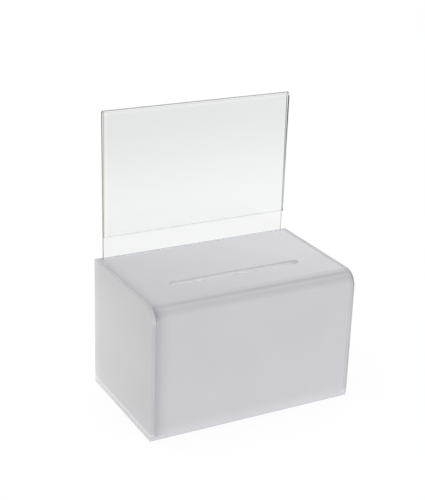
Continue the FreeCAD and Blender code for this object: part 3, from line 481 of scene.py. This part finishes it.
barrel_shape = bmesh.new()
shank = [(SHANK_BORE, SHANK_END), (THREAD_ROOT, SHANK_END)]
for tooth in range(THREAD_TURNS):
    start = SHANK_END + THREAD_START + tooth * THREAD_PITCH
    shank += [(THREAD_ROOT, start), (THREAD_CREST, start + 0.00035),
              (THREAD_CREST, start + 0.00055), (THREAD_ROOT, start + 0.0009)]
shank += [(THREAD_ROOT, HEAD_SEAT + SHANK_OVERLAP), (SHANK_BORE, HEAD_SEAT + SHANK_OVERLAP)]
turned(barrel_shape, shank)
for side in (-1.0, 1.0):
    whole = barrel_shape.verts[:] + barrel_shape.edges[:] + barrel_shape.faces[:]
    bmesh.ops.bisect_plane(barrel_shape, geom=whole, plane_co=(side * BARREL_FLAT, 0.0, 0.0),
                           plane_no=(side, 0.0, 0.0), clear_outer=True)
    open_edges = [edge for edge in barrel_shape.edges if edge.is_boundary]
    bmesh.ops.holes_fill(barrel_shape, edges=open_edges)
turned(barrel_shape, [(HEAD_BORE, HEAD_SEAT), (HEAD_RADIUS, HEAD_SEAT),
                      (HEAD_RADIUS, HEAD_FACE - HEAD_BEVEL), (HEAD_RADIUS - HEAD_BEVEL, HEAD_FACE),
                      (RECESS_RADIUS, HEAD_FACE), (RECESS_RADIUS, HEAD_FACE - RECESS_DEPTH),
                      (HEAD_BORE, HEAD_FACE - RECESS_DEPTH)])
bmesh.ops.recalc_face_normals(barrel_shape, faces=barrel_shape.faces[:])
rims = [edge for edge in barrel_shape.edges
        if edge.verts[0].co.y > HEAD_FACE - RIM_REACH and edge.calc_face_angle(0.0) > 0.5
        and min(from_axis(vert) for vert in edge.verts) > RIM_INNER]
bmesh.ops.bevel(barrel_shape, geom=rims, offset=RIM_ROUND, segments=2, profile=0.5,
                affect="EDGES", material=-1)
barrel_mesh = bpy.data.meshes.new("threaded_barrel")
barrel_shape.to_mesh(barrel_mesh)
barrel_shape.free()
barrel_mesh.shade_smooth()
barrel_mesh.set_sharp_from_angle(angle=math.radians(28.0))
barrel = bpy.data.objects.new("threaded_barrel", barrel_mesh)
bpy.context.scene.collection.objects.link(barrel)
chrome_finish = plated_steel("lock_chrome_plate", CHROME, 0.08, 0.002, (1.0, 1.0, 1.0), 0.06)
barrel_mesh.materials.append(chrome_finish)
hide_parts("lock_barrel")
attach(barrel, "door")


# Lock plug: a chrome plated turning with the key slot in its face.
# It turns in the barrel and carries the cam on a square at its inner end.
dress("lock_plug", chrome_finish)


# Lock washer, nut, cam and cam screw: zinc plated steel behind the door.
# The nut and washer hold the barrel, and the slotted screw holds the cam on the plug's square.
ZINC = (0.66, 0.65, 0.62)
zinc_finish = plated_steel("zinc_plate", ZINC, 0.30, 0.0015, (1.0, 1.0, 1.0), 0.02)
for node in ("lock_washer", "lock_nut", "lock_cam", "cam_screw"):
    dress(node, zinc_finish)


# Table top: a wide white sheet that the box stands on, a hair under its base.
# It is seen as plain white with a faint shadow, and throws a little light back up.
TABLE_RADIUS, TABLE_DROP = 7.0, 0.0002
WHITE = (1.0, 1.0, 1.0, 1.0)


def glowing_paper(finish, grey, glow):
    """A dull paper that also shines a little by itself."""
    paper = add_node(finish, "ShaderNodeBsdfDiffuse", {"Color": (grey, grey, grey, 1.0)})
    shine = add_node(finish, "ShaderNodeEmission", {"Color": WHITE, "Strength": glow})
    both = add_node(finish, "ShaderNodeAddShader", {0: paper.outputs["BSDF"],
                                                    1: shine.outputs["Emission"]})
    return both.outputs["Shader"]


table_mesh = bpy.data.meshes.new("table_top")
table_shape = bmesh.new()
bmesh.ops.create_circle(table_shape, cap_ends=True, segments=96, radius=TABLE_RADIUS)
bmesh.ops.translate(table_shape, verts=table_shape.verts, vec=(0.0, 0.0, -TABLE_DROP))
table_shape.to_mesh(table_mesh)
table_shape.free()
table = bpy.data.objects.new("table_top", table_mesh)
bpy.context.scene.collection.objects.link(table)
table_finish = bpy.data.materials.new("white_table")
table_finish.use_nodes = True
table_finish.node_tree.nodes.clear()
table_path = add_node(table_finish, "ShaderNodeLightPath", {}).outputs
seen = larger(table_finish, table_path["Is Camera Ray"], table_path["Is Glossy Ray"],
              table_path["Is Transmission Ray"])
bounce = glowing_paper(table_finish, 0.30, 0.62)
look = glowing_paper(table_finish, 0.26, 0.8)
either = add_node(table_finish, "ShaderNodeMixShader", {0: seen, 1: bounce, 2: look})
add_node(table_finish, "ShaderNodeOutputMaterial", {"Surface": either.outputs["Shader"]})
table_mesh.materials.append(table_finish)


# Studio: a white light tent all round, with a dark gap either side of its overhead light,
# which shows as fine lines along the bend. Two soft lamps fill the front and the left side,
# and three small ones stand for the light that the opal and clear sheets carry in.
STRIPES = ((0.0, 1.55), (0.15, 1.55), (0.22, 1.8), (0.35, 1.8), (0.41, 0.0), (0.515, 0.0),
           (0.55, 1.2), (0.61, 1.2), (0.64, 0.0), (0.75, 0.1), (0.83, 0.4), (0.91, 1.0))
TENT_STRENGTH = 0.78
BOX_MIDDLE = Vector((0.0, 0.0, 0.07))
tent = bpy.data.worlds.new("light_tent")
bpy.context.scene.world = tent
tent.use_nodes = True
tent.node_tree.nodes.clear()
facing = add_node(tent, "ShaderNodeTexCoord", {}).outputs["Generated"]
tent_x = across(tent, facing, "X")
tent_y = across(tent, facing, "Y")
tent_z = across(tent, facing, "Z")
over = add_node(tent, "ShaderNodeMath", {0: tent_z, 1: tent_y}, operation="ARCTAN2")
turn = add_node(tent, "ShaderNodeMath", {0: over.outputs["Value"], 1: math.pi}, operation="DIVIDE")
stripes = add_node(tent, "ShaderNodeValToRGB", {"Fac": turn.outputs["Value"]})
stripes.color_ramp.interpolation = "LINEAR"
elements = stripes.color_ramp.elements
for index, (at, level) in enumerate(STRIPES):
    stop = elements[index] if index < 2 else elements.new(at)
    stop.position = at
    stop.color = (level, level, level, 1.0)
tent_path = add_node(tent, "ShaderNodeLightPath", {}).outputs
plain = larger(tent, tent_path["Is Camera Ray"], tent_path["Is Transmission Ray"])
studio = add_node(tent, "ShaderNodeBackground", {"Color": WHITE, "Strength": TENT_STRENGTH})
brighter = product(tent, ramp(tent, tent_x, 0.35, 0.53, 0.79, 0.93),
                   ramp(tent, tent_z, 0.350, 0.420, 1.36, 1.0))
mirrored = add_node(tent, "ShaderNodeBackground", {"Color": stripes.outputs["Color"],
                                                   "Strength": brighter})
backdrop = add_node(tent, "ShaderNodeBackground", {"Color": WHITE, "Strength": 1.0})
in_mirror = add_node(tent, "ShaderNodeMath", {0: tent_path["Glossy Depth"], 1: 0.5},
                     operation="GREATER_THAN")
seen_plain = add_node(tent, "ShaderNodeMixShader", {0: plain, 1: studio.outputs["Background"],
                                                    2: backdrop.outputs["Background"]})
shown = add_node(tent, "ShaderNodeMixShader", {0: in_mirror.outputs["Value"],
                                               1: seen_plain.outputs["Shader"],
                                               2: mirrored.outputs["Background"]})
add_node(tent, "ShaderNodeOutputWorld", {"Surface": shown.outputs["Shader"]})


def hang(lamp_data, place, turned_to):
    """Put a lamp in its place, unseen by the camera, in mirror images and through clear sheet."""
    lamp = bpy.data.objects.new(lamp_data.name, lamp_data)
    lamp.location = place
    lamp.rotation_euler = turned_to
    lamp.visible_glossy = False
    lamp.visible_transmission = False
    lamp.visible_camera = False
    bpy.context.scene.collection.objects.link(lamp)


def soft_lamp(name, place, width, power, colour):
    """A square diffuser turned towards the box."""
    lamp_data = bpy.data.lights.new(name, "AREA")
    lamp_data.size = width
    lamp_data.energy = power
    lamp_data.color = colour
    hang(lamp_data, place, (BOX_MIDDLE - Vector(place)).to_track_quat("-Z", "Y").to_euler())


def strip_lamp(name, place, size, tilt, power):
    """A narrow panel of light inside the box or in a slot."""
    lamp_data = bpy.data.lights.new(name, "AREA")
    lamp_data.shape = "RECTANGLE"
    lamp_data.size, lamp_data.size_y = size
    lamp_data.energy = power
    hang(lamp_data, place, (math.radians(tilt), 0.0, 0.0))


soft_lamp("front_fill", (0.2, -1.3, 0.10), 0.7, 3.9, (1.0, 1.0, 1.0))
soft_lamp("left_fill", (-0.34, 0.22, 0.03), 0.15, 0.28, (0.97, 1.0, 0.72))
strip_lamp("light_along_sheet", (0.0, 0.0689, 0.1483), (0.224, 0.0012), 90.0, 0.0007)
strip_lamp("light_in_slot", (0.0005, -0.0244, 0.1432), (0.148, 0.0024), 110.0, 0.0020)
strip_lamp("light_through_walls", (0.0, -0.005, 0.02), (0.20, 0.11), 180.0, 0.06)


# Camera: it stands to the left of the box and above it, with a long lens.
# Its place and turn were fitted to the straight edges of the box.
camera_data = bpy.data.cameras.new("camera")
camera_data.lens = 85.765
camera_data.sensor_width = 36.0
camera = bpy.data.objects.new("camera", camera_data)
bpy.context.scene.collection.objects.link(camera)
camera.matrix_world = Matrix((
    (0.88410, 0.14873, -0.44300, -0.57844),
    (-0.46633, 0.34161, -0.81599, -1.03749),
    (0.02998, 0.92800, 0.37138, 0.64190),
    (0.0, 0.0, 0.0, 1.0)))
bpy.context.scene.camera = camera
bpy.context.scene.view_settings.view_transform = "Standard"
